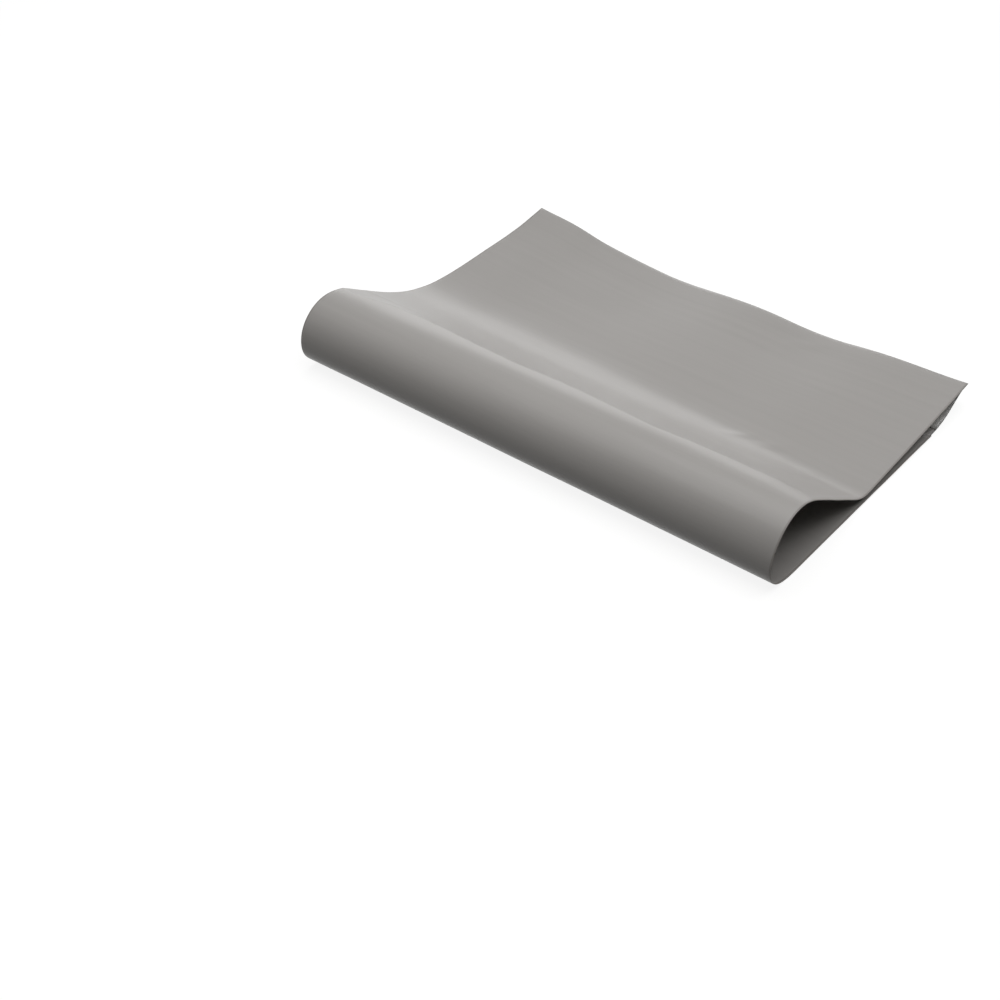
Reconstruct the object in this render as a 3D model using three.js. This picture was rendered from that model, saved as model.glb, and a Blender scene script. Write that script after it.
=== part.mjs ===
// Poly mailer bag, folded once over a soft loop and laid down flat.
// Millimetres, +Z up. X runs along the fold, Y from the fold to the two loose ends.
// Stations are measured along the film, from the tip of the closing flap.
import * as THREE from 'three';

// The bag laid out flat
const bagWidth = 305;
const panelLength = 406;
const flapLength = 40;
const filmThickness = 0.06;
const panelGap = 0.3;
const weldWidth = 0.6;

// The closing strip on the flap
const adhesiveWidth = 20;
const adhesiveThickness = 0.04;
const linerWidth = 26;
const linerThickness = 0.06;
const linerFromTip = 7;
const stripClearance = 0.1;

// How the folded bag lies. The two side edges differ a little, so each value has a left and a right.
// Centres are counted along the film from the line where it lifts off the floor, and the flap's
// from its tip. Turns and rises are degrees, and shifts move the corners in towards the
// middle. Lines across the bag are counted from 0 at the left edge to 1 at the right.
const liftOffY = 21.2;
const liftOffStation = { left: 171, right: 175.5 };
const frontBend = {
  centre: { left: 26.4, right: 32 },
  reach: { left: 26.4, right: 32 },
  turn: { left: 84.9, right: 115 },
};
const crestBend = {
  centre: { left: 60.2, right: 70.9 },
  reach: { left: 43.8, right: 33.4 },
  turn: { left: 122.8, right: 96.6 },
};
const valleyBend = {
  centre: { left: 157.8, right: 156.8 },
  reach: { left: 49.3, right: 13 },
};
const upperEndRise = { middle: -0.7, left: 2.8, right: 5.1 };
const lowestLine = 0.45;
const upperEndWaves = [
  { line: 0.09, reach: 0.1, rise: 0.75 },
  { line: 0.55, reach: 0.22, rise: 2.1 },
  { line: 0.83, reach: 0.2, rise: 1.5 },
];
const upperCornerCurl = { centre: 250, reach: 26, turn: { left: 7, right: 1 } };
const flapCornerCurl = { centre: 18, reach: 18, turn: { left: 10, right: 23 } };
const upperCornerShift = { left: 3, right: 0 };
const flapCornerShift = { left: 0, right: 2.4 };

// Mesh density
const marchStep = 0.5;
const flatStep = 14;
const flapStep = 7;
const loopStep = 5;
const columnStep = 20;
const roundSteps = 4;

const bagLength = flapLength + panelLength;
const filmEdge = bagWidth / 2 - weldWidth;
const innerFace = panelGap / 2;
const outerFace = innerFace + filmThickness;
const halfTurn = 180;

const between = (pair, a) => THREE.MathUtils.lerp(pair.left, pair.right, a);

// Share of a bend that is done at t, where the bend runs from t = -1 to t = 1.
// The curvature is a raised cosine, so the film enters and leaves each bend smoothly.
function shareOfBend(t) {
  const inside = THREE.MathUtils.clamp(t, -1, 1);
  return 0.5 * (1 + inside + Math.sin(Math.PI * inside) / Math.PI);
}

// How far a line across the bag is from the line that lies lowest, 0 there and 1 at both edges
function towardsEdge(a) {
  const room = a < lowestLine ? lowestLine : 1 - lowestLine;
  return ((a - lowestLine) / room) ** 2;
}

// A smooth hump, 1 at the middle of its reach and 0 at t = -1 and t = 1
function hump(t) {
  return 0.5 * (1 + Math.cos(Math.PI * THREE.MathUtils.clamp(t, -1, 1)));
}

// How many degrees the upper half rises towards its end on a line a across the bag
function riseOnLine(a) {
  const waves = upperEndWaves.map((wave) => wave.rise * hump((a - wave.line) / wave.reach));
  const rise = THREE.MathUtils.lerp(upperEndRise.middle, between(upperEndRise, a), towardsEdge(a));
  return waves.reduce((sum, wave) => sum + wave, rise);
}

// Direction of the film in degrees above +Y, at a station on a line a across the bag.
// Both ends lie flat near the middle and curl up towards the side edges.
function filmDirection(a, station) {
  const beyond = station - between(liftOffStation, a);
  const edgeShare = towardsEdge(a);
  const flapCurl = between(flapCornerCurl.turn, a) * edgeShare;
  const flapShare = shareOfBend((station - flapCornerCurl.centre) / flapCornerCurl.reach);
  let direction = halfTurn + flapCurl * (1 - flapShare);
  for (const bend of [frontBend, crestBend]) {
    const share = shareOfBend((beyond - between(bend.centre, a)) / between(bend.reach, a));
    direction -= between(bend.turn, a) * share;
  }
  const dip = between(frontBend.turn, a) + between(crestBend.turn, a) - halfTurn;
  const valleyAt = (beyond - between(valleyBend.centre, a)) / between(valleyBend.reach, a);
  direction += (dip + riseOnLine(a)) * shareOfBend(valleyAt);
  const cornerAt = (beyond - upperCornerCurl.centre) / upperCornerCurl.reach;
  direction += between(upperCornerCurl.turn, a) * edgeShare * shareOfBend(cornerAt);
  return direction;
}

// The point and the direction of a marched line at a station
function alongLine(line, station) {
  const here = Math.min(Math.floor(station / marchStep), line.length - 2);
  const part = station / marchStep - here;
  const mix = (key) => THREE.MathUtils.lerp(line[here][key], line[here + 1][key], part);
  return { y: mix('y'), z: mix('z'), direction: mix('direction') };
}

// One line of film from the flap tip to the bottom fold, marched in small steps of equal length,
// then set down so that it leaves the floor at the lift-off line.
function marchLine(a) {
  const steps = Math.round(bagLength / marchStep);
  const line = [{ y: 0, z: 0, direction: THREE.MathUtils.degToRad(filmDirection(a, 0)) }];
  for (let i = 1; i <= steps; i += 1) {
    const middle = THREE.MathUtils.degToRad(filmDirection(a, (i - 0.5) * marchStep));
    const last = line[i - 1];
    line.push({
      y: last.y + marchStep * Math.cos(middle),
      z: last.z + marchStep * Math.sin(middle),
      direction: THREE.MathUtils.degToRad(filmDirection(a, i * marchStep)),
    });
  }
  const liftOff = alongLine(line, between(liftOffStation, a));
  const startY = liftOffY - liftOff.y;
  const startZ = outerFace - liftOff.z;
  return line.map((p) => ({ y: p.y + startY, z: p.z + startZ, direction: p.direction }));
}

const marchedLines = new Map();

function lineAt(across) {
  if (!marchedLines.has(across)) {
    marchedLines.set(across, marchLine(across / bagWidth + 0.5));
  }
  return marchedLines.get(across);
}

// How far a loose corner has slid in towards the middle line, positive on the right side
function cornerShift(across, station) {
  const a = across / bagWidth + 0.5;
  const upperShare = THREE.MathUtils.smoothstep(station, bagLength - panelLength / 2, bagLength);
  const flapShare = 1 - THREE.MathUtils.smoothstep(station, 0, flapLength);
  const shift = between(upperCornerShift, a) * upperShare + between(flapCornerShift, a) * flapShare;
  return Math.sign(across) * shift * (2 * across / bagWidth) ** 2;
}

// A point of the bag: across from its middle line, at a station along the film, and at a height
// off the middle of the two panels, counted towards the outside of the fold.
function bagPoint(across, station, height) {
  const onFilm = Math.min(station, bagLength);
  const { y, z, direction } = alongLine(lineAt(across), onFilm);
  const past = station - onFilm;
  return new THREE.Vector3(
    across - cornerShift(across, station),
    y + past * Math.cos(direction) - height * Math.sin(direction),
    z + past * Math.sin(direction) + height * Math.cos(direction),
  );
}

// A mesh being built: vertices are added once and faces refer to them by number.
class FilmMesh {
  constructor() {
    this.points = [];
    this.faces = [];
  }

  point(across, station, height) {
    this.points.push(...bagPoint(across, station, height).toArray());
    return this.points.length / 3 - 1;
  }

  // One row of vertices from the left edge of the film to the right
  row(station, height) {
    return linesAcross.map((across) => this.point(across, station, height));
  }

  // The strip between two equally long runs of vertices, cut on the same diagonal whichever way
  // it faces, so that faces laid over each other stay parallel
  strip(from, to, facesBack = false) {
    for (let i = 0; i + 1 < from.length; i += 1) {
      const [a, b, c, d] = [from[i], from[i + 1], to[i + 1], to[i]];
      this.faces.push(...(facesBack ? [a, c, b, a, d, c] : [a, b, c, a, c, d]));
    }
  }

  skin(rows, facesBack = false) {
    for (let i = 0; i + 1 < rows.length; i += 1) {
      this.strip(rows[i], rows[i + 1], facesBack);
    }
  }

  fan(centre, rim, facesBack = false) {
    for (let i = 0; i + 1 < rim.length; i += 1) {
      const [a, b] = facesBack ? [rim[i + 1], rim[i]] : [rim[i], rim[i + 1]];
      this.faces.push(centre, a, b);
    }
  }

  geometry() {
    const geometry = new THREE.BufferGeometry();
    geometry.setAttribute('position', new THREE.Float32BufferAttribute(this.points, 3));
    geometry.setIndex(this.faces);
    geometry.computeVertexNormals();
    return geometry;
  }
}

function evenSteps(from, to, step) {
  const count = Math.max(1, Math.round((to - from) / step));
  return Array.from({ length: count + 1 }, (_, i) => from + (to - from) * i / count);
}

// Stations through all the given marks, at most about one step apart
function stepThrough(marks, step) {
  const legs = marks.slice(1).map((mark, i) => evenSteps(marks[i], mark, step).slice(1));
  return [marks[0], ...legs.flat()];
}

const adhesiveFromTip = linerFromTip + (linerWidth - adhesiveWidth) / 2;
const flapStations = stepThrough([
  0,
  linerFromTip,
  adhesiveFromTip,
  adhesiveFromTip + adhesiveWidth,
  linerFromTip + linerWidth,
  flapLength,
], flapStep);
const loopStart = liftOffStation.left - loopStep;
const loopEnd = liftOffStation.right + valleyBend.centre.left + valleyBend.reach.left / 2;
const pocketStations = [
  ...evenSteps(flapLength, loopStart, flatStep),
  ...evenSteps(loopStart, loopEnd, loopStep).slice(1),
  ...evenSteps(loopEnd, bagLength, flatStep).slice(1),
];
const stations = [...flapStations.slice(0, -1), ...pocketStations];
const linesAcross = evenSteps(-filmEdge, filmEdge, columnStep);

// Rows round the bottom fold, a half circle from the back panel to the front panel
function foldRows(mesh, height) {
  const angles = evenSteps(0, Math.PI, Math.PI / roundSteps).slice(1, -1);
  return angles.map((angle) => mesh.row(
    bagLength + height * Math.sin(angle),
    height * Math.cos(angle),
  ));
}

// One face of each panel, from the flap tip or the mouth to the fold, and the fold that joins them
function webFace(mesh, height) {
  return {
    back: stations.map((station) => mesh.row(station, height)),
    fold: foldRows(mesh, height),
    front: pocketStations.map((station) => mesh.row(station, -height)),
  };
}

function addWebFace(mesh, face, facesBack) {
  mesh.skin(face.back, facesBack);
  mesh.skin([face.back.at(-1), ...face.fold, face.front.at(-1)], facesBack);
  mesh.skin(face.front, !facesBack);
}

// One side of the bag: the flap's cut edge, then the hot-cut weld that joins both panels in a
// rounded bead, closed at the mouth and at the bottom fold.
function addSide(mesh, outer, inner, isLeft) {
  const column = isLeft ? 0 : linesAcross.length - 1;
  const edgeOf = (rows) => rows.map((row) => row[column]);
  const [backOuter, backInner] = [edgeOf(outer.back), edgeOf(inner.back)];
  const [frontOuter, frontInner] = [edgeOf(outer.front), edgeOf(inner.front)];
  const mouth = stations.length - pocketStations.length;
  const roundAngles = evenSteps(0, Math.PI, Math.PI / roundSteps).slice(1, -1);

  const beads = pocketStations.map((station, i) => {
    const round = roundAngles.map((angle) => {
      const across = filmEdge + weldWidth * Math.sin(angle);
      return mesh.point(isLeft ? -across : across, station, outerFace * Math.cos(angle));
    });
    return [backOuter[mouth + i], ...round, frontOuter[i]];
  });
  const pocketSide = pocketStations.map((_, i) => [backInner[mouth + i], frontInner[i]]);

  mesh.strip(backOuter.slice(0, mouth + 1), backInner.slice(0, mouth + 1), !isLeft);
  mesh.skin(beads, isLeft);
  mesh.skin(pocketSide, !isLeft);

  const crown = roundSteps / 2;
  const [atMouth, atFold] = [beads[0], beads.at(-1)];
  const pocketRim = [frontInner[0], backInner[mouth]];
  mesh.fan(atMouth[crown], [
    ...atMouth.slice(crown + 1),
    ...pocketRim,
    ...atMouth.slice(0, crown),
  ], !isLeft);
  mesh.fan(atFold[crown], [...atFold.slice(crown + 1), ...atFold.slice(0, crown)], isLeft);
  mesh.fan(backOuter.at(-1), [...edgeOf(outer.fold), frontOuter.at(-1)], !isLeft);
  mesh.fan(backInner.at(-1), [...edgeOf(inner.fold), frontInner.at(-1)], isLeft);
}

// The envelope: one web of film folded once at the bottom and welded along both sides,
// with its mouth open and the flap running on from the back panel.
function makeEnvelope() {
  const mesh = new FilmMesh();
  const outer = webFace(mesh, outerFace);
  const inner = webFace(mesh, innerFace);
  addWebFace(mesh, outer, false);
  addWebFace(mesh, inner, true);
  mesh.strip(inner.back[0], outer.back[0]);
  mesh.strip(outer.front[0], inner.front[0]);
  addSide(mesh, outer, inner, true);
  addSide(mesh, outer, inner, false);
  return mesh.geometry();
}

// A strip laid across the flap's inner face, a closed slab that follows the film
function makeStrip(fromTip, width, height, thickness) {
  const mesh = new FilmMesh();
  const covered = stations.filter((station) => station >= fromTip && station <= fromTip + width);
  const lower = covered.map((station) => mesh.row(station, height));
  const upper = covered.map((station) => mesh.row(station, height - thickness));
  mesh.skin(lower);
  mesh.skin(upper, true);
  mesh.strip(upper[0], lower[0]);
  mesh.strip(lower.at(-1), upper.at(-1));
  for (const column of [0, linesAcross.length - 1]) {
    const edgeOf = (rows) => rows.map((row) => row[column]);
    mesh.strip(edgeOf(lower), edgeOf(upper), column > 0);
  }
  return mesh.geometry();
}

function named(name, geometry, material) {
  const mesh = new THREE.Mesh(geometry, material);
  mesh.name = name;
  return mesh;
}

const greyFilm = new THREE.MeshStandardMaterial({ color: 0xa3a19d, roughness: 0.42, metalness: 0 });
const hotMelt = new THREE.MeshStandardMaterial({ color: 0xd8cfae, roughness: 0.3, metalness: 0 });
const siliconeFilm = new THREE.MeshStandardMaterial({ color: 0xdedcd6, roughness: 0.35, metalness: 0 });

const adhesiveHeight = innerFace - stripClearance;
const linerHeight = adhesiveHeight - adhesiveThickness - stripClearance;

const bag = new THREE.Group();
bag.add(named('film_envelope', makeEnvelope(), greyFilm));
bag.add(named('adhesive_strip',
  makeStrip(adhesiveFromTip, adhesiveWidth, adhesiveHeight, adhesiveThickness), hotMelt));
bag.add(named('release_liner',
  makeStrip(linerFromTip, linerWidth, linerHeight, linerThickness), siliconeFilm));

// The origin is the middle of the bag's footprint, on the floor
const extent = new THREE.Box3().setFromObject(bag);
const middle = extent.getCenter(new THREE.Vector3());
bag.position.set(-middle.x, -middle.y, -extent.min.z);
bag.updateMatrixWorld(true);

export default bag;
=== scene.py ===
import math

import bpy
import numpy as np
from mathutils import Matrix, Vector


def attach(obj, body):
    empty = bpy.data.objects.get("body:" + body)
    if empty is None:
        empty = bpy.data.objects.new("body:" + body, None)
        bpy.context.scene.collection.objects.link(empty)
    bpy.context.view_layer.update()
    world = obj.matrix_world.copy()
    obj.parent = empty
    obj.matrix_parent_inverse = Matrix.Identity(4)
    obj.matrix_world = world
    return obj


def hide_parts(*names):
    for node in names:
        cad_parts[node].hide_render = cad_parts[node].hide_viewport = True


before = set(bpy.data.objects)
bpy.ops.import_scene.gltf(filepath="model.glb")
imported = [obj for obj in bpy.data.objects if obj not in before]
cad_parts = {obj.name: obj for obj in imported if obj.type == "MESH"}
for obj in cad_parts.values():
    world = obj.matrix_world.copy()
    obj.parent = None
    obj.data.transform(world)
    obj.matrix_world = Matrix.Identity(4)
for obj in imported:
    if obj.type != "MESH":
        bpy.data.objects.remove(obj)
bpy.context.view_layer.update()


# Film envelope
# One web of co-extruded polyethylene film, 60 micrometres thick, folded once at the bottom and
# hot-cut along both sides. The bag is folded in half over a soft loop, flap end underneath.
MM = 0.001
BAG_WIDTH = 305.0
PANEL_LENGTH = 406.0
FLAP_LENGTH = 40.0
BAG_LENGTH = PANEL_LENGTH + FLAP_LENGTH
FILM_THICKNESS = 0.06
PANEL_GAP = 0.3
WELD_WIDTH = 0.6
INNER_FACE = PANEL_GAP / 2
OUTER_FACE = INNER_FACE + FILM_THICKNESS
FILM_EDGE = BAG_WIDTH / 2 - WELD_WIDTH

# How the bag lies: left and right edge, stations in mm along the film, turns in degrees
LIFT_OFF_Y = 21.2
LIFT_OFF_STATION = (171, 175.5)
FRONT_BEND = {"centre": (26.4, 32), "reach": (26.4, 32), "turn": (84.9, 115)}
CREST_BEND = {"centre": (60.2, 70.9), "reach": (43.8, 33.4), "turn": (122.8, 96.6)}
VALLEY_BEND = {"centre": (157.8, 156.8), "reach": (49.3, 13)}
UPPER_END_RISE = {"middle": -0.7, "edges": (2.8, 5.1)}
# Share of the width, from the left, at which the upper half's end lies lowest
LOWEST_LINE = 0.45
UPPER_END_WAVES = (
    {"line": 0.09, "reach": 0.1, "rise": 0.75},
    {"line": 0.55, "reach": 0.22, "rise": 2.1},
    {"line": 0.83, "reach": 0.2, "rise": 1.5},
)
UPPER_CORNER_CURL = {"centre": 250, "reach": 26, "turn": (7, 1)}
FLAP_CORNER_CURL = {"centre": 18, "reach": 18, "turn": (10, 23)}
UPPER_CORNER_SHIFT = (3, 0)
FLAP_CORNER_SHIFT = (0, 2.4)

# The ridge behind the crest: its station and height at lines across the bag, how far before the
# ridge the film starts to rise, how far behind it has fallen, and the rounding on both sides
RIDGE_ACROSS = (-140, -120, -97, -60, -30, 0, 30, 60, 80, 100, 130, 150)
RIDGE_STATION = (257, 265, 266, 263.5, 263, 266, 264.5, 262, 265, 267, 268, 268)
RIDGE_HEIGHT = (1.2, 2.0, 2.2, 2.0, 1.9, 2.1, 2.1, 1.7, 1.9, 1.9, 1.5, 0.15)
RIDGE_REACH = {"before": 28, "behind": 32}
RIDGE_ROUNDING = (1.5, 3)

# Where the slope behind the ridge ends, the film turns up more sharply than its broad bend.
# The height grows from the first to the second value across the bag and ends before the right edge
VALLEY_TURN = {
    "height": (0.4, 1.6),
    "grows_across": (-120, -20),
    "ends_across": (145, 75),
    "rises": (307, 331),
    "fades": (340, 435),
}

# Short creases in the film, each from (across, station) to (across, station)
CREASES = (
    {"from_point": (-160, 279), "to_point": (-96, 282), "width": 1.6, "height": 0.35},
    {"from_point": (-135, 312), "to_point": (-112, 325), "width": 1.6, "height": 0.30},
    {"from_point": (64, 322), "to_point": (84, 341), "width": 1.3, "height": 0.38},
    {"from_point": (84, 330), "to_point": (108, 348), "width": 1.4, "height": 0.38},
    {"from_point": (102, 303), "to_point": (136, 329), "width": 1.3, "height": 0.30},
    {"from_point": (98, 312), "to_point": (130, 338), "width": 1.2, "height": 0.24},
    {"from_point": (44, 425), "to_point": (72, 437), "width": 1.8, "height": 0.35},
)
CREASE_FADE = 0.3

# Slow waves of the whole sheet, with each length in mm to a radian
SHEET_WAVES = (
    {"height": 0.10, "along": 23, "slant": 61, "width": 37, "phases": (0, 1.1)},
    {"height": 0.05, "along": 11, "slant": -29, "width": 19, "phases": (0.6, 0)},
)
# The ruffle that the welds leave along both sides, with its lengths in mm to a radian
WELD_RUFFLE = {"height": 0.05, "fade": 6, "along": 4.3, "sway": 2.0, "sway_along": 17}
# Between these stations the relief passes from pointing up, off the floor, to both ways
RELIEF_FREED = (LIFT_OFF_STATION[0] - 10, LIFT_OFF_STATION[0] + 15)

MARCH_STEP = 0.5
ROUND_STEPS = 4


def between(pair, line):
    """The value on a line of the bag, from the left edge's at line 0 to the right edge's at line 1."""
    return pair[0] + (pair[1] - pair[0]) * line


def share_of_bend(t):
    """Share of a bend done at t, from -1 to 1: (1 + t + sin(pi t) / pi) / 2, a raised-cosine bend."""
    inside = np.clip(t, -1, 1)
    return 0.5 * (1 + inside + np.sin(np.pi * inside) / np.pi)


def smoothly(low, high, value):
    """The smooth step 3 t t - 2 t t t, where t runs from 0 at low to 1 at high."""
    t = np.clip((value - low) / (high - low), 0, 1)
    return t * t * (3 - 2 * t)


def hump(t):
    """A smooth hump, (1 + cos(pi t)) / 2 from -1 to 1 and nothing outside."""
    return 0.5 * (1 + np.cos(np.pi * np.clip(t, -1, 1)))


def rise_on_line(line, edge_share):
    """Degrees that the upper half rises on a line: the middle's value passing to the edges', plus the
    humps of the tail's waves."""
    rise = UPPER_END_RISE["middle"] * (1 - edge_share) + between(UPPER_END_RISE["edges"], line) * edge_share
    return rise + sum(wave["rise"] * hump((line - wave["line"]) / wave["reach"]) for wave in UPPER_END_WAVES)


def film_direction(line, station):
    """Degrees above +Y: 180 at the flap, less the front and crest bends, plus the valley's, with
    the curls of the loose corners at both ends."""
    beyond = station - between(LIFT_OFF_STATION, line)
    edge_share = ((line - LOWEST_LINE) / np.where(line < LOWEST_LINE, LOWEST_LINE, 1 - LOWEST_LINE)) ** 2
    flap_at = (station - FLAP_CORNER_CURL["centre"]) / FLAP_CORNER_CURL["reach"]
    flap_curl = between(FLAP_CORNER_CURL["turn"], line) * edge_share
    direction = 180 + flap_curl * (1 - share_of_bend(flap_at))
    for bend in (FRONT_BEND, CREST_BEND):
        bend_at = (beyond - between(bend["centre"], line)) / between(bend["reach"], line)
        direction = direction - between(bend["turn"], line) * share_of_bend(bend_at)
    dip = between(FRONT_BEND["turn"], line) + between(CREST_BEND["turn"], line) - 180
    rise = rise_on_line(line, edge_share)
    valley_at = (beyond - between(VALLEY_BEND["centre"], line)) / between(VALLEY_BEND["reach"], line)
    corner_at = (beyond - UPPER_CORNER_CURL["centre"]) / UPPER_CORNER_CURL["reach"]
    corner_curl = between(UPPER_CORNER_CURL["turn"], line) * edge_share
    return direction + (dip + rise) * share_of_bend(valley_at) + corner_curl * share_of_bend(corner_at)


def march_lines(across):
    """Running sums of cos and sin of the film's direction, one column for each line across the bag,
    moved so that each line leaves the floor at its lift-off station."""
    line = across / BAG_WIDTH + 0.5
    steps = round(BAG_LENGTH / MARCH_STEP)
    middles = (np.arange(steps) + 0.5)[:, None] * MARCH_STEP
    turned = np.radians(film_direction(line[None, :], middles))
    start = np.zeros((1, len(across)))
    y = np.concatenate([start, np.cumsum(np.cos(turned), axis=0) * MARCH_STEP])
    z = np.concatenate([start, np.cumsum(np.sin(turned), axis=0) * MARCH_STEP])
    lift_off = between(LIFT_OFF_STATION, line) / MARCH_STEP
    row = np.floor(lift_off).astype(int)
    part = lift_off - row
    column = np.arange(len(across))
    lift_y = y[row, column] * (1 - part) + y[row + 1, column] * part
    lift_z = z[row, column] * (1 - part) + z[row + 1, column] * part
    return y - lift_y + LIFT_OFF_Y, z - lift_z + OUTER_FACE


def line_crease(across, station, from_point, to_point, width, height):
    """A narrow ridge along a straight line on the film, height / cosh of the distance over the
    width, faded out smoothly towards both ends."""
    start, end = np.array(from_point, float), np.array(to_point, float)
    along = (end - start) / np.linalg.norm(end - start)
    from_start = np.stack([across - start[0], station - start[1]])
    done = (from_start[0] * along[0] + from_start[1] * along[1]) / np.linalg.norm(end - start)
    off = from_start[0] * along[1] - from_start[1] * along[0]
    faded = smoothly(0, CREASE_FADE, done) * smoothly(0, CREASE_FADE, 1 - done)
    return height * faded / np.cosh(off / width)


def sheet_wave(across, station, height, along, slant, width, phases):
    """A slow wave of the sheet: one sine along the film, slanted across it, times one across it."""
    slanted = np.sin(station / along + across / slant + phases[0])
    return height * slanted * np.sin(across / width + phases[1])


def weld_ruffle(across, station, height, fade, along, sway, sway_along):
    """A sine along the film whose phase sways, which dies away from both side edges inwards."""
    to_side = np.abs(np.abs(across) - BAG_WIDTH / 2)
    return height * np.exp(-to_side / fade) * np.sin(station / along + sway * np.sin(station / sway_along))


def ridge_line(across, station):
    """The ridge behind the crest, a roof with parabolic sides: its height times (1 + p / before)
    squared in front and (1 - p / behind) squared behind, where p is the distance past the ridge,
    with a smooth step from one side to the other."""
    past_ridge = station - np.interp(across, RIDGE_ACROSS, RIDGE_STATION)
    rising = np.clip(1 + past_ridge / RIDGE_REACH["before"], 0, None) ** 2
    falling = np.clip(1 - past_ridge / RIDGE_REACH["behind"], 0, None) ** 2
    over = smoothly(-RIDGE_ROUNDING[0], RIDGE_ROUNDING[1], past_ridge)
    return np.interp(across, RIDGE_ACROSS, RIDGE_HEIGHT) * (rising * (1 - over) + falling * over)


def valley_turn(across, station):
    """The sharper turn-up in the valley: a smooth step up along the film and a longer one down."""
    height = between(VALLEY_TURN["height"], smoothly(*VALLEY_TURN["grows_across"], across))
    height = height * smoothly(*VALLEY_TURN["ends_across"], across)
    return height * smoothly(*VALLEY_TURN["rises"], station) * (1 - smoothly(*VALLEY_TURN["fades"], station))


def film_relief(across, station):
    """Height of the film's waves, ruffle, ridge, valley turn and creases in mm, added up. On the
    lower half it only points up, away from the floor."""
    relief = sum(sheet_wave(across, station, **wave) for wave in SHEET_WAVES)
    relief = relief + weld_ruffle(across, station, **WELD_RUFFLE)
    relief = relief + ridge_line(across, station) + valley_turn(across, station)
    for crease in CREASES:
        relief = relief + line_crease(across, station, **crease)
    upper = smoothly(*RELIEF_FREED, station)
    return relief * upper - np.abs(relief) * (1 - upper)


def corner_shift(across, station):
    """How far a loose corner has slid in: its own shift, faded in along the film by a smooth step
    and across it by the square of the distance from the middle line."""
    line = across / BAG_WIDTH + 0.5
    upper = between(UPPER_CORNER_SHIFT, line) * smoothly(BAG_LENGTH - PANEL_LENGTH / 2, BAG_LENGTH, station)
    flap = between(FLAP_CORNER_SHIFT, line) * (1 - smoothly(0, FLAP_LENGTH, station))
    return np.sign(across) * (upper + flap) * (2 * across / BAG_WIDTH) ** 2


def bag_points(across, station, height):
    """Points of the bag in metres: a marched line's point, plus the height along the film's normal,
    for across and station values of one shape."""
    columns, column = np.unique(across, return_inverse=True)
    column = column.reshape(across.shape)
    line_y, line_z = march_lines(columns)
    on_film = np.clip(station, 0, BAG_LENGTH)
    row = np.minimum(np.floor(on_film / MARCH_STEP).astype(int), line_y.shape[0] - 2)
    part = on_film / MARCH_STEP - row
    y = line_y[row, column] * (1 - part) + line_y[row + 1, column] * part
    z = line_z[row, column] * (1 - part) + line_z[row + 1, column] * part
    turned = np.radians(film_direction(across / BAG_WIDTH + 0.5, on_film))
    past = station - on_film
    up = height + film_relief(across, on_film)
    x = across - corner_shift(across, station)
    y = y + past * np.cos(turned) - up * np.sin(turned) + FRAME_SHIFT_Y
    z = z + past * np.sin(turned) + up * np.cos(turned)
    return np.stack([x, y, z], axis=-1) * MM


# The frame's origin is the middle of the footprint, which reaches from the loop's front to the tail
FOOTPRINT_LINES = 41
line_y = march_lines(np.linspace(-BAG_WIDTH / 2, BAG_WIDTH / 2, FOOTPRINT_LINES))[0]
FRAME_SHIFT_Y = -(line_y.min() + line_y.max()) / 2


def even_steps(low, high, step):
    """Values from low to high, evenly spaced at about one step."""
    return np.linspace(low, high, max(2, round((high - low) / step) + 1))


def through(marks, steps):
    """Stations through all the marks, each stretch with its own step."""
    legs = [even_steps(low, high, step)[1:] for low, high, step in zip(marks, marks[1:], steps)]
    return np.concatenate([[marks[0]], *legs])


class GridMesh:
    """A mesh put together from grids of points, with each border point shared by number."""

    def __init__(self):
        self.points = []
        self.count = 0
        self.quads = []
        self.triangles = []
        self.marks = []

    def grid(self, across, station, height):
        """Adds the points of a grid and returns their numbers in the same shape."""
        across, station, height = np.broadcast_arrays(across, station, height)
        self.points.append(bag_points(across.astype(float), station, height).reshape(-1, 3))
        self.marks.append(np.stack([across, station], axis=-1).reshape(-1, 2))
        numbers = np.arange(self.count, self.count + across.size).reshape(across.shape)
        self.count += across.size
        return numbers

    def skin(self, numbers, facing_back=False):
        """Quads between neighbouring rows and columns of numbers."""
        rows = numbers[::-1] if facing_back else numbers
        quads = np.stack([rows[:-1, :-1], rows[:-1, 1:], rows[1:, 1:], rows[1:, :-1]], axis=-1)
        self.quads.append(quads.reshape(-1, 4))

    def fan(self, centre, rim, facing_back=False):
        """Triangles from one centre point to each stretch of a rim."""
        rim = rim[::-1] if facing_back else rim
        corners = np.stack([np.full(len(rim) - 1, centre), rim[:-1], rim[1:]], axis=-1)
        self.triangles.append(corners)

    def piece(self, name, material):
        """The finished object: one smooth mesh with a map of mm across and along the film."""
        mesh = bpy.data.meshes.new(name)
        faces = [quad for block in self.quads for quad in block.tolist()]
        faces += [triangle for block in self.triangles for triangle in block.tolist()]
        mesh.from_pydata(np.concatenate(self.points).tolist(), [], faces)
        mesh.polygons.foreach_set("use_smooth", np.ones(len(faces), bool))
        marks = np.concatenate(self.marks)
        corner = np.zeros(len(mesh.loops), np.int32)
        mesh.loops.foreach_get("vertex_index", corner)
        layer = mesh.uv_layers.new(name="film_metres")
        layer.data.foreach_set("uv", (marks[corner] * MM).astype(np.float32).ravel())
        mesh.materials.append(material)
        mesh.update()
        made = bpy.data.objects.new(name, mesh)
        bpy.context.scene.collection.objects.link(made)
        return made


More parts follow.
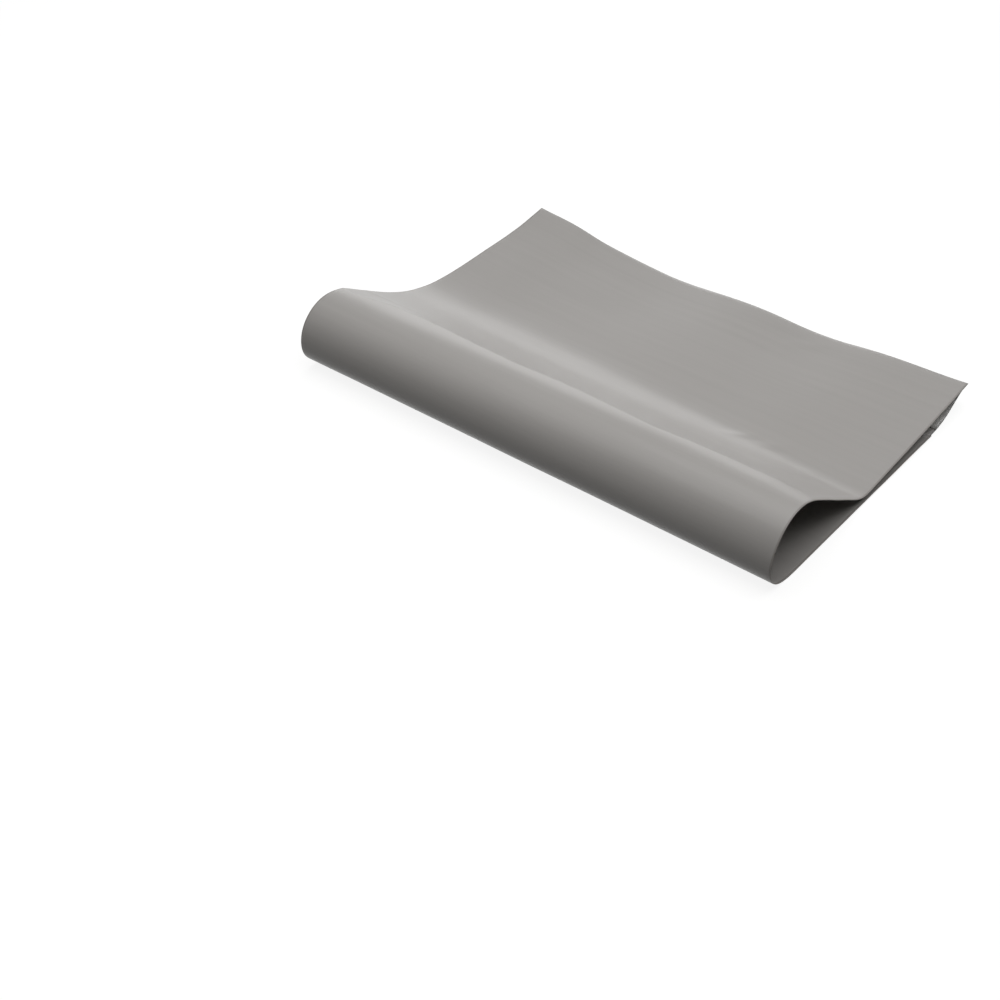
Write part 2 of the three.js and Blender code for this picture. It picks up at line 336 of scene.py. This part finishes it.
# The film's rows of points follow the borders of the adhesive and its liner on the flap, and lie
# closest together at the ridge
ADHESIVE_STATIONS = (10, 30)
LINER_STATIONS = (7, 33)
FLAP_MARKS = (0, LINER_STATIONS[0], *ADHESIVE_STATIONS, LINER_STATIONS[1], FLAP_LENGTH)
FLAP_STEPS = (3.5, 3, 3, 3, 3.5)
POCKET_MARKS = (FLAP_LENGTH, 165, 255, 280, 345, BAG_LENGTH)
POCKET_STEPS = (3.5, 2.0, 1.0, 2.5, 3.0)
COLUMN_STEP = 2.6
FLAP_STATIONS = through(FLAP_MARKS, FLAP_STEPS)
POCKET_STATIONS = through(POCKET_MARKS, POCKET_STEPS)
STATIONS = np.concatenate([FLAP_STATIONS[:-1], POCKET_STATIONS])
COLUMNS = even_steps(-FILM_EDGE, FILM_EDGE, COLUMN_STEP)
MOUTH = len(STATIONS) - len(POCKET_STATIONS)


def web_face(mesh, height, facing_back):
    """One face of both panels: the back panel with its flap, half a circle round the bottom fold,
    and the front panel back to the mouth. Returns the numbers of all its rows."""
    angle = np.linspace(0, np.pi, ROUND_STEPS + 1)[1:-1, None]
    back = mesh.grid(COLUMNS[None, :], STATIONS[:, None], height)
    fold = mesh.grid(COLUMNS[None, :], BAG_LENGTH + height * np.sin(angle), height * np.cos(angle))
    front = mesh.grid(COLUMNS[None, :], POCKET_STATIONS[:, None], -height)
    rows = np.concatenate([back, fold, front[::-1]])
    mesh.skin(rows, facing_back)
    return back, fold, front


def side_of(mesh, outer, inner, column):
    """One side of the bag: the flap's cut edge and the round bead of the hot-cut weld, which fans
    of triangles close at the mouth and at the bottom fold."""
    left = column == 0
    sign = -1 if left else 1
    back_outer, fold_outer, front_outer = (rows[:, column] for rows in outer)
    back_inner, fold_inner, front_inner = (rows[:, column] for rows in inner)
    angle = np.linspace(0, np.pi, ROUND_STEPS + 1)[None, 1:-1]
    bead_across = sign * (FILM_EDGE + WELD_WIDTH * np.sin(angle))
    bead = mesh.grid(bead_across, POCKET_STATIONS[:, None], OUTER_FACE * np.cos(angle))
    round_bead = np.concatenate([back_outer[MOUTH:, None], bead, front_outer[:, None]], axis=1)
    mesh.skin(round_bead, left)
    mesh.skin(np.stack([back_inner[MOUTH:], front_inner], axis=1), not left)
    mesh.skin(np.stack([back_outer[:MOUTH + 1], back_inner[:MOUTH + 1]], axis=1), not left)
    crown = ROUND_STEPS // 2
    mouth, fold = round_bead[0], round_bead[-1]
    pocket_rim = [front_inner[0], back_inner[MOUTH]]
    mesh.fan(mouth[crown], np.concatenate([mouth[crown + 1:], pocket_rim, mouth[:crown]]), not left)
    mesh.fan(fold[crown], np.concatenate([fold[crown + 1:], fold[:crown]]), left)
    mesh.fan(back_outer[-1], np.append(fold_outer, front_outer[-1]), not left)
    mesh.fan(back_inner[-1], np.append(fold_inner, front_inner[-1]), left)


def linear(code):
    """An sRGB hex value as linear red, green and blue with alpha 1."""
    parts = [int(code[i:i + 2], 16) / 255 for i in (1, 3, 5)]
    return [p / 12.92 if p <= 0.04045 else ((p + 0.055) / 1.055) ** 2.4 for p in parts] + [1]


def add(nodes, kind, settings=None, inputs=None, links=None):
    """Adds a node, sets its properties and sockets, and links sockets of earlier nodes to it."""
    node = nodes.new(kind)
    for name, value in (settings or {}).items():
        setattr(node, name, value)
    for name, value in (inputs or {}).items():
        node.inputs[name].default_value = value
    for name, source in (links or {}).items():
        node.id_data.links.new(source, node.inputs[name])
    return node


def new_material(name):
    """An empty node material and its nodes."""
    material = bpy.data.materials.new(name)
    material.use_nodes = True
    material.node_tree.nodes.clear()
    return material, material.node_tree.nodes


def repeats(size):
    """How often a pattern of a size in mm repeats in a metre of the film's map."""
    return 1 / (size * MM)


FILM_GREYS = ("#a5a29f", "#aeaba8")
# Darker grey painted on the weld bead, as painted shade on its side face
WELD_PAINTED_SHADE_GREY = "#918d89"
GAUGE_BAND_LENGTH = 125
GAUGE_BAND_WIDTH = 4.2
HAZE_GRAIN = 1.5


def polyethylene_film():
    """Blown co-extruded polyethylene, satin: faint lighter and darker bands run along the machine
    direction, across the bag, with the fine grain of a haze layer."""
    material, nodes = new_material("polyethylene_film")
    place = add(nodes, "ShaderNodeUVMap", {"uv_map": "film_metres"})
    # Gauge bands a few mm wide along the station axis, about 30 times as long across the bag
    band_scale = (repeats(GAUGE_BAND_LENGTH), repeats(GAUGE_BAND_WIDTH), 1)
    bands_at = add(nodes, "ShaderNodeMapping", inputs={"Scale": band_scale},
                   links={"Vector": place.outputs["UV"]})
    bands = add(nodes, "ShaderNodeTexNoise", inputs={"Scale": 1, "Detail": 3, "Roughness": 0.6},
                links={"Vector": bands_at.outputs["Vector"]})
    # Haze grain, coarser than the real one so that it shows
    grain = add(nodes, "ShaderNodeTexNoise",
                inputs={"Scale": repeats(HAZE_GRAIN), "Detail": 2, "Roughness": 0.5},
                links={"Vector": place.outputs["UV"]})
    tint = add(nodes, "ShaderNodeMix", {"data_type": "RGBA"},
               {"A": linear(FILM_GREYS[0]), "B": linear(FILM_GREYS[1])},
               {"Factor": bands.outputs["Fac"]})
    # The molten bead of the weld is thicker; its darker grey is painted shade on the bead's side face
    axes = add(nodes, "ShaderNodeSeparateXYZ", links={"Vector": place.outputs["UV"]})
    to_middle = add(nodes, "ShaderNodeMath", {"operation": "ABSOLUTE"}, links={0: axes.outputs["X"]})
    weld_shade_mask = add(nodes, "ShaderNodeMapRange",
               inputs={"From Min": (FILM_EDGE - WELD_WIDTH) * MM, "From Max": FILM_EDGE * MM},
               links={"Value": to_middle.outputs["Value"]})
    colour = add(nodes, "ShaderNodeMix", {"data_type": "RGBA"}, {"B": linear(WELD_PAINTED_SHADE_GREY)},
                 {"Factor": weld_shade_mask.outputs["Result"], "A": tint.outputs["Result"]})
    haze = add(nodes, "ShaderNodeMapRange", inputs={"To Min": 0.28, "To Max": 0.38},
               links={"Value": bands.outputs["Fac"]})
    bump = add(nodes, "ShaderNodeBump", inputs={"Strength": 0.12, "Distance": 0.0002},
               links={"Height": grain.outputs["Fac"]})
    film = add(nodes, "ShaderNodeBsdfPrincipled", inputs={"IOR": 1.51, "Specular IOR Level": 0.25},
               links={"Base Color": colour.outputs["Result"], "Roughness": haze.outputs["Result"],
                      "Normal": bump.outputs["Normal"]})
    add(nodes, "ShaderNodeOutputMaterial", links={"Surface": film.outputs["BSDF"]})
    return material


film_mesh = GridMesh()
outer_face = web_face(film_mesh, OUTER_FACE, False)
inner_face = web_face(film_mesh, INNER_FACE, True)
film_mesh.skin(np.stack([inner_face[0][0], outer_face[0][0]]))
film_mesh.skin(np.stack([outer_face[2][0], inner_face[2][0]]))
for side in (0, len(COLUMNS) - 1):
    side_of(film_mesh, outer_face, inner_face, side)
envelope = film_mesh.piece("film", polyethylene_film())
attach(envelope, "root")
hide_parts("film_envelope")


# Adhesive strip
# A 20 mm wide line of clear pale yellow hot-melt, coated hot onto the flap's inner face.
# It lies between the flap and its liner and never sets hard.
ADHESIVE_THICKNESS = 0.04
STRIP_CLEARANCE = 0.1
ADHESIVE_HEIGHT = INNER_FACE - STRIP_CLEARANCE
STATION_TOLERANCE = 1e-6
MELT_YELLOWS = ("#d8cfae", "#e2dabf")
COATER_RIB_LENGTH = 65
COATER_RIB_SPACING = 1


def strip_mesh(stations, height, thickness):
    """A closed slab across the flap's inner face, which follows the film."""
    mesh = GridMesh()
    first, last = stations[0] - STATION_TOLERANCE, stations[1] + STATION_TOLERANCE
    covered = STATIONS[(STATIONS >= first) & (STATIONS <= last)]
    lower = mesh.grid(COLUMNS[None, :], covered[:, None], height)
    upper = mesh.grid(COLUMNS[None, :], covered[:, None], height - thickness)
    mesh.skin(lower)
    mesh.skin(upper, True)
    mesh.skin(np.stack([upper[0], lower[0]]))
    mesh.skin(np.stack([lower[-1], upper[-1]]))
    for column in (0, -1):
        mesh.skin(np.stack([lower[:, column], upper[:, column]], axis=1), column == -1)
    return mesh


def hot_melt():
    """Pressure-sensitive hot-melt: clear, pale yellow, glossy, with the faint ribs of the coater."""
    material, nodes = new_material("hot_melt_adhesive")
    place = add(nodes, "ShaderNodeUVMap", {"uv_map": "film_metres"})
    rib_scale = (repeats(COATER_RIB_LENGTH), repeats(COATER_RIB_SPACING), 1)
    ribs_at = add(nodes, "ShaderNodeMapping", inputs={"Scale": rib_scale},
                  links={"Vector": place.outputs["UV"]})
    ribs = add(nodes, "ShaderNodeTexNoise", inputs={"Scale": 1, "Detail": 2},
               links={"Vector": ribs_at.outputs["Vector"]})
    tint = add(nodes, "ShaderNodeMix", {"data_type": "RGBA"},
               {"A": linear(MELT_YELLOWS[0]), "B": linear(MELT_YELLOWS[1])},
               {"Factor": ribs.outputs["Fac"]})
    bump = add(nodes, "ShaderNodeBump", inputs={"Strength": 0.3, "Distance": 0.0002},
               links={"Height": ribs.outputs["Fac"]})
    melt = add(nodes, "ShaderNodeBsdfPrincipled", inputs={"IOR": 1.48, "Roughness": 0.22},
               links={"Base Color": tint.outputs["Result"], "Normal": bump.outputs["Normal"]})
    add(nodes, "ShaderNodeOutputMaterial", links={"Surface": melt.outputs["BSDF"]})
    return material


adhesive = strip_mesh(ADHESIVE_STATIONS, ADHESIVE_HEIGHT, ADHESIVE_THICKNESS).piece("adhesive", hot_melt())
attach(adhesive, "root")
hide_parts("adhesive_strip")


# Release liner
# A 26 mm wide ribbon of white siliconised film that covers the adhesive until it is peeled off.
# It lies on the adhesive and stands 3 mm past it on both sides.
LINER_THICKNESS = 0.06
LINER_HEIGHT = ADHESIVE_HEIGHT - ADHESIVE_THICKNESS - STRIP_CLEARANCE
LINER_WHITES = ("#dddcd8", "#e6e5e2")
COATING_CLOUD = 8


def silicone_film():
    """Siliconised release film: white, smooth and a little glossy, with a slight milky unevenness."""
    material, nodes = new_material("siliconised_release_film")
    place = add(nodes, "ShaderNodeUVMap", {"uv_map": "film_metres"})
    clouds = add(nodes, "ShaderNodeTexNoise", inputs={"Scale": repeats(COATING_CLOUD), "Detail": 3},
                 links={"Vector": place.outputs["UV"]})
    tint = add(nodes, "ShaderNodeMix", {"data_type": "RGBA"},
               {"A": linear(LINER_WHITES[0]), "B": linear(LINER_WHITES[1])},
               {"Factor": clouds.outputs["Fac"]})
    gloss = add(nodes, "ShaderNodeMapRange", inputs={"To Min": 0.26, "To Max": 0.36},
                links={"Value": clouds.outputs["Fac"]})
    liner = add(nodes, "ShaderNodeBsdfPrincipled", inputs={"IOR": 1.45},
                links={"Base Color": tint.outputs["Result"], "Roughness": gloss.outputs["Result"]})
    add(nodes, "ShaderNodeOutputMaterial", links={"Surface": liner.outputs["BSDF"]})
    return material


liner = strip_mesh(LINER_STATIONS, LINER_HEIGHT, LINER_THICKNESS).piece("liner", silicone_film())
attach(liner, "root")
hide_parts("release_liner")


# Floor
# A plain pale surface under the bag, which shows white to the camera and keeps the soft shadow.
FLOOR_HALF = 6.0
FLOOR_DROP = 0.00005
FLOOR_GREY = "#7c7c7b"
FLOOR_LIFT = 0.88


def seen_directly(nodes):
    """1 for rays from the camera, in reflections and through clear pieces, and 0 for the rest."""
    paths = add(nodes, "ShaderNodeLightPath")
    kinds = [paths.outputs[name] for name in ("Is Camera Ray", "Is Glossy Ray", "Is Transmission Ray")]
    seen = add(nodes, "ShaderNodeMath", {"operation": "MAXIMUM"}, links={0: kinds[0], 1: kinds[1]})
    either = add(nodes, "ShaderNodeMath", {"operation": "MAXIMUM"}, links={0: seen.outputs[0], 1: kinds[2]})
    return either.outputs[0]


def pale_floor():
    """A matt floor. What the camera and reflections see of it is lifted to white."""
    material, nodes = new_material("pale_floor")
    matt = add(nodes, "ShaderNodeBsdfDiffuse", inputs={"Color": linear(FLOOR_GREY)})
    lift = add(nodes, "ShaderNodeMath", {"operation": "MULTIPLY"}, {1: FLOOR_LIFT},
               {0: seen_directly(nodes)})
    glow = add(nodes, "ShaderNodeEmission", inputs={"Color": (1, 1, 1, 1)},
               links={"Strength": lift.outputs["Value"]})
    both = add(nodes, "ShaderNodeAddShader", links={0: matt.outputs["BSDF"], 1: glow.outputs["Emission"]})
    add(nodes, "ShaderNodeOutputMaterial", links={"Surface": both.outputs["Shader"]})
    return material


floor_mesh = bpy.data.meshes.new("floor")
floor_corners = [(-FLOOR_HALF, -FLOOR_HALF), (FLOOR_HALF, -FLOOR_HALF),
                 (FLOOR_HALF, FLOOR_HALF), (-FLOOR_HALF, FLOOR_HALF)]
floor_mesh.from_pydata([(x, y, -FLOOR_DROP) for x, y in floor_corners], [], [(0, 1, 2, 3)])
floor_mesh.materials.append(pale_floor())
floor = bpy.data.objects.new("floor", floor_mesh)
bpy.context.scene.collection.objects.link(floor)


# Light
# Two soft boxes, one overhead and one low behind the bag, and a faint even surround.
SURROUND_LIGHT = 0.03
SOFT_BOXES = (
    {"name": "overhead", "place": (0.1, 0.0, 1.4), "size": (1.8, 1.8), "power": 22.0},
    {"name": "behind", "place": (-0.95, 1.45, 0.28), "size": (1.2, 0.4), "power": 3.0},
)


def soft_box(name, place, size, power):
    """A soft box of a width and a height in metres that faces the middle of the bag."""
    lamp = bpy.data.lights.new(name, "AREA")
    lamp.shape = "RECTANGLE"
    lamp.size, lamp.size_y = size
    lamp.energy = power
    lamp_object = bpy.data.objects.new(name, lamp)
    lamp_object.location = place
    lamp_object.rotation_euler = (-Vector(place)).to_track_quat("-Z", "Y").to_euler()
    bpy.context.scene.collection.objects.link(lamp_object)


for box in SOFT_BOXES:
    soft_box(**box)

world = bpy.data.worlds.new("surround")
bpy.context.scene.world = world
world.use_nodes = True
sky = world.node_tree.nodes
sky.clear()
sky_strength = add(sky, "ShaderNodeMapRange", inputs={"To Min": SURROUND_LIGHT, "To Max": FLOOR_LIFT},
                   links={"Value": seen_directly(sky)})
sky_light = add(sky, "ShaderNodeBackground", inputs={"Color": (1, 1, 1, 1)},
                links={"Strength": sky_strength.outputs["Result"]})
add(sky, "ShaderNodeOutputWorld", links={"Surface": sky_light.outputs["Background"]})


# Camera
# The photograph's view, from the right of the loop's front and 38 degrees down.
CAMERA_TURN = math.radians(38.261)
CAMERA_PITCH = math.radians(38.465)
CAMERA_ROLL = math.radians(0.410)
CAMERA_PLACE = (0.42594, -0.66104, 0.53764)
SENSOR_WIDTH = 36.0
# Focal length as a share of the picture's width
FOCAL_SHARE = 1.6987

ahead = Vector((-math.sin(CAMERA_TURN) * math.cos(CAMERA_PITCH),
                math.cos(CAMERA_TURN) * math.cos(CAMERA_PITCH),
                -math.sin(CAMERA_PITCH)))
level = Vector((math.cos(CAMERA_TURN), math.sin(CAMERA_TURN), 0))
upright = level.cross(ahead)
to_right = level * math.cos(CAMERA_ROLL) + upright * math.sin(CAMERA_ROLL)
to_top = upright * math.cos(CAMERA_ROLL) - level * math.sin(CAMERA_ROLL)
camera_data = bpy.data.cameras.new("camera")
camera_data.sensor_width = SENSOR_WIDTH
camera_data.lens = SENSOR_WIDTH * FOCAL_SHARE
camera = bpy.data.objects.new("camera", camera_data)
turned_to = Matrix((to_right, to_top, -ahead)).transposed()
camera.matrix_world = Matrix.Translation(CAMERA_PLACE) @ turned_to.to_4x4()
bpy.context.scene.collection.objects.link(camera)
bpy.context.scene.camera = camera
bpy.context.scene.view_settings.view_transform = "Standard"
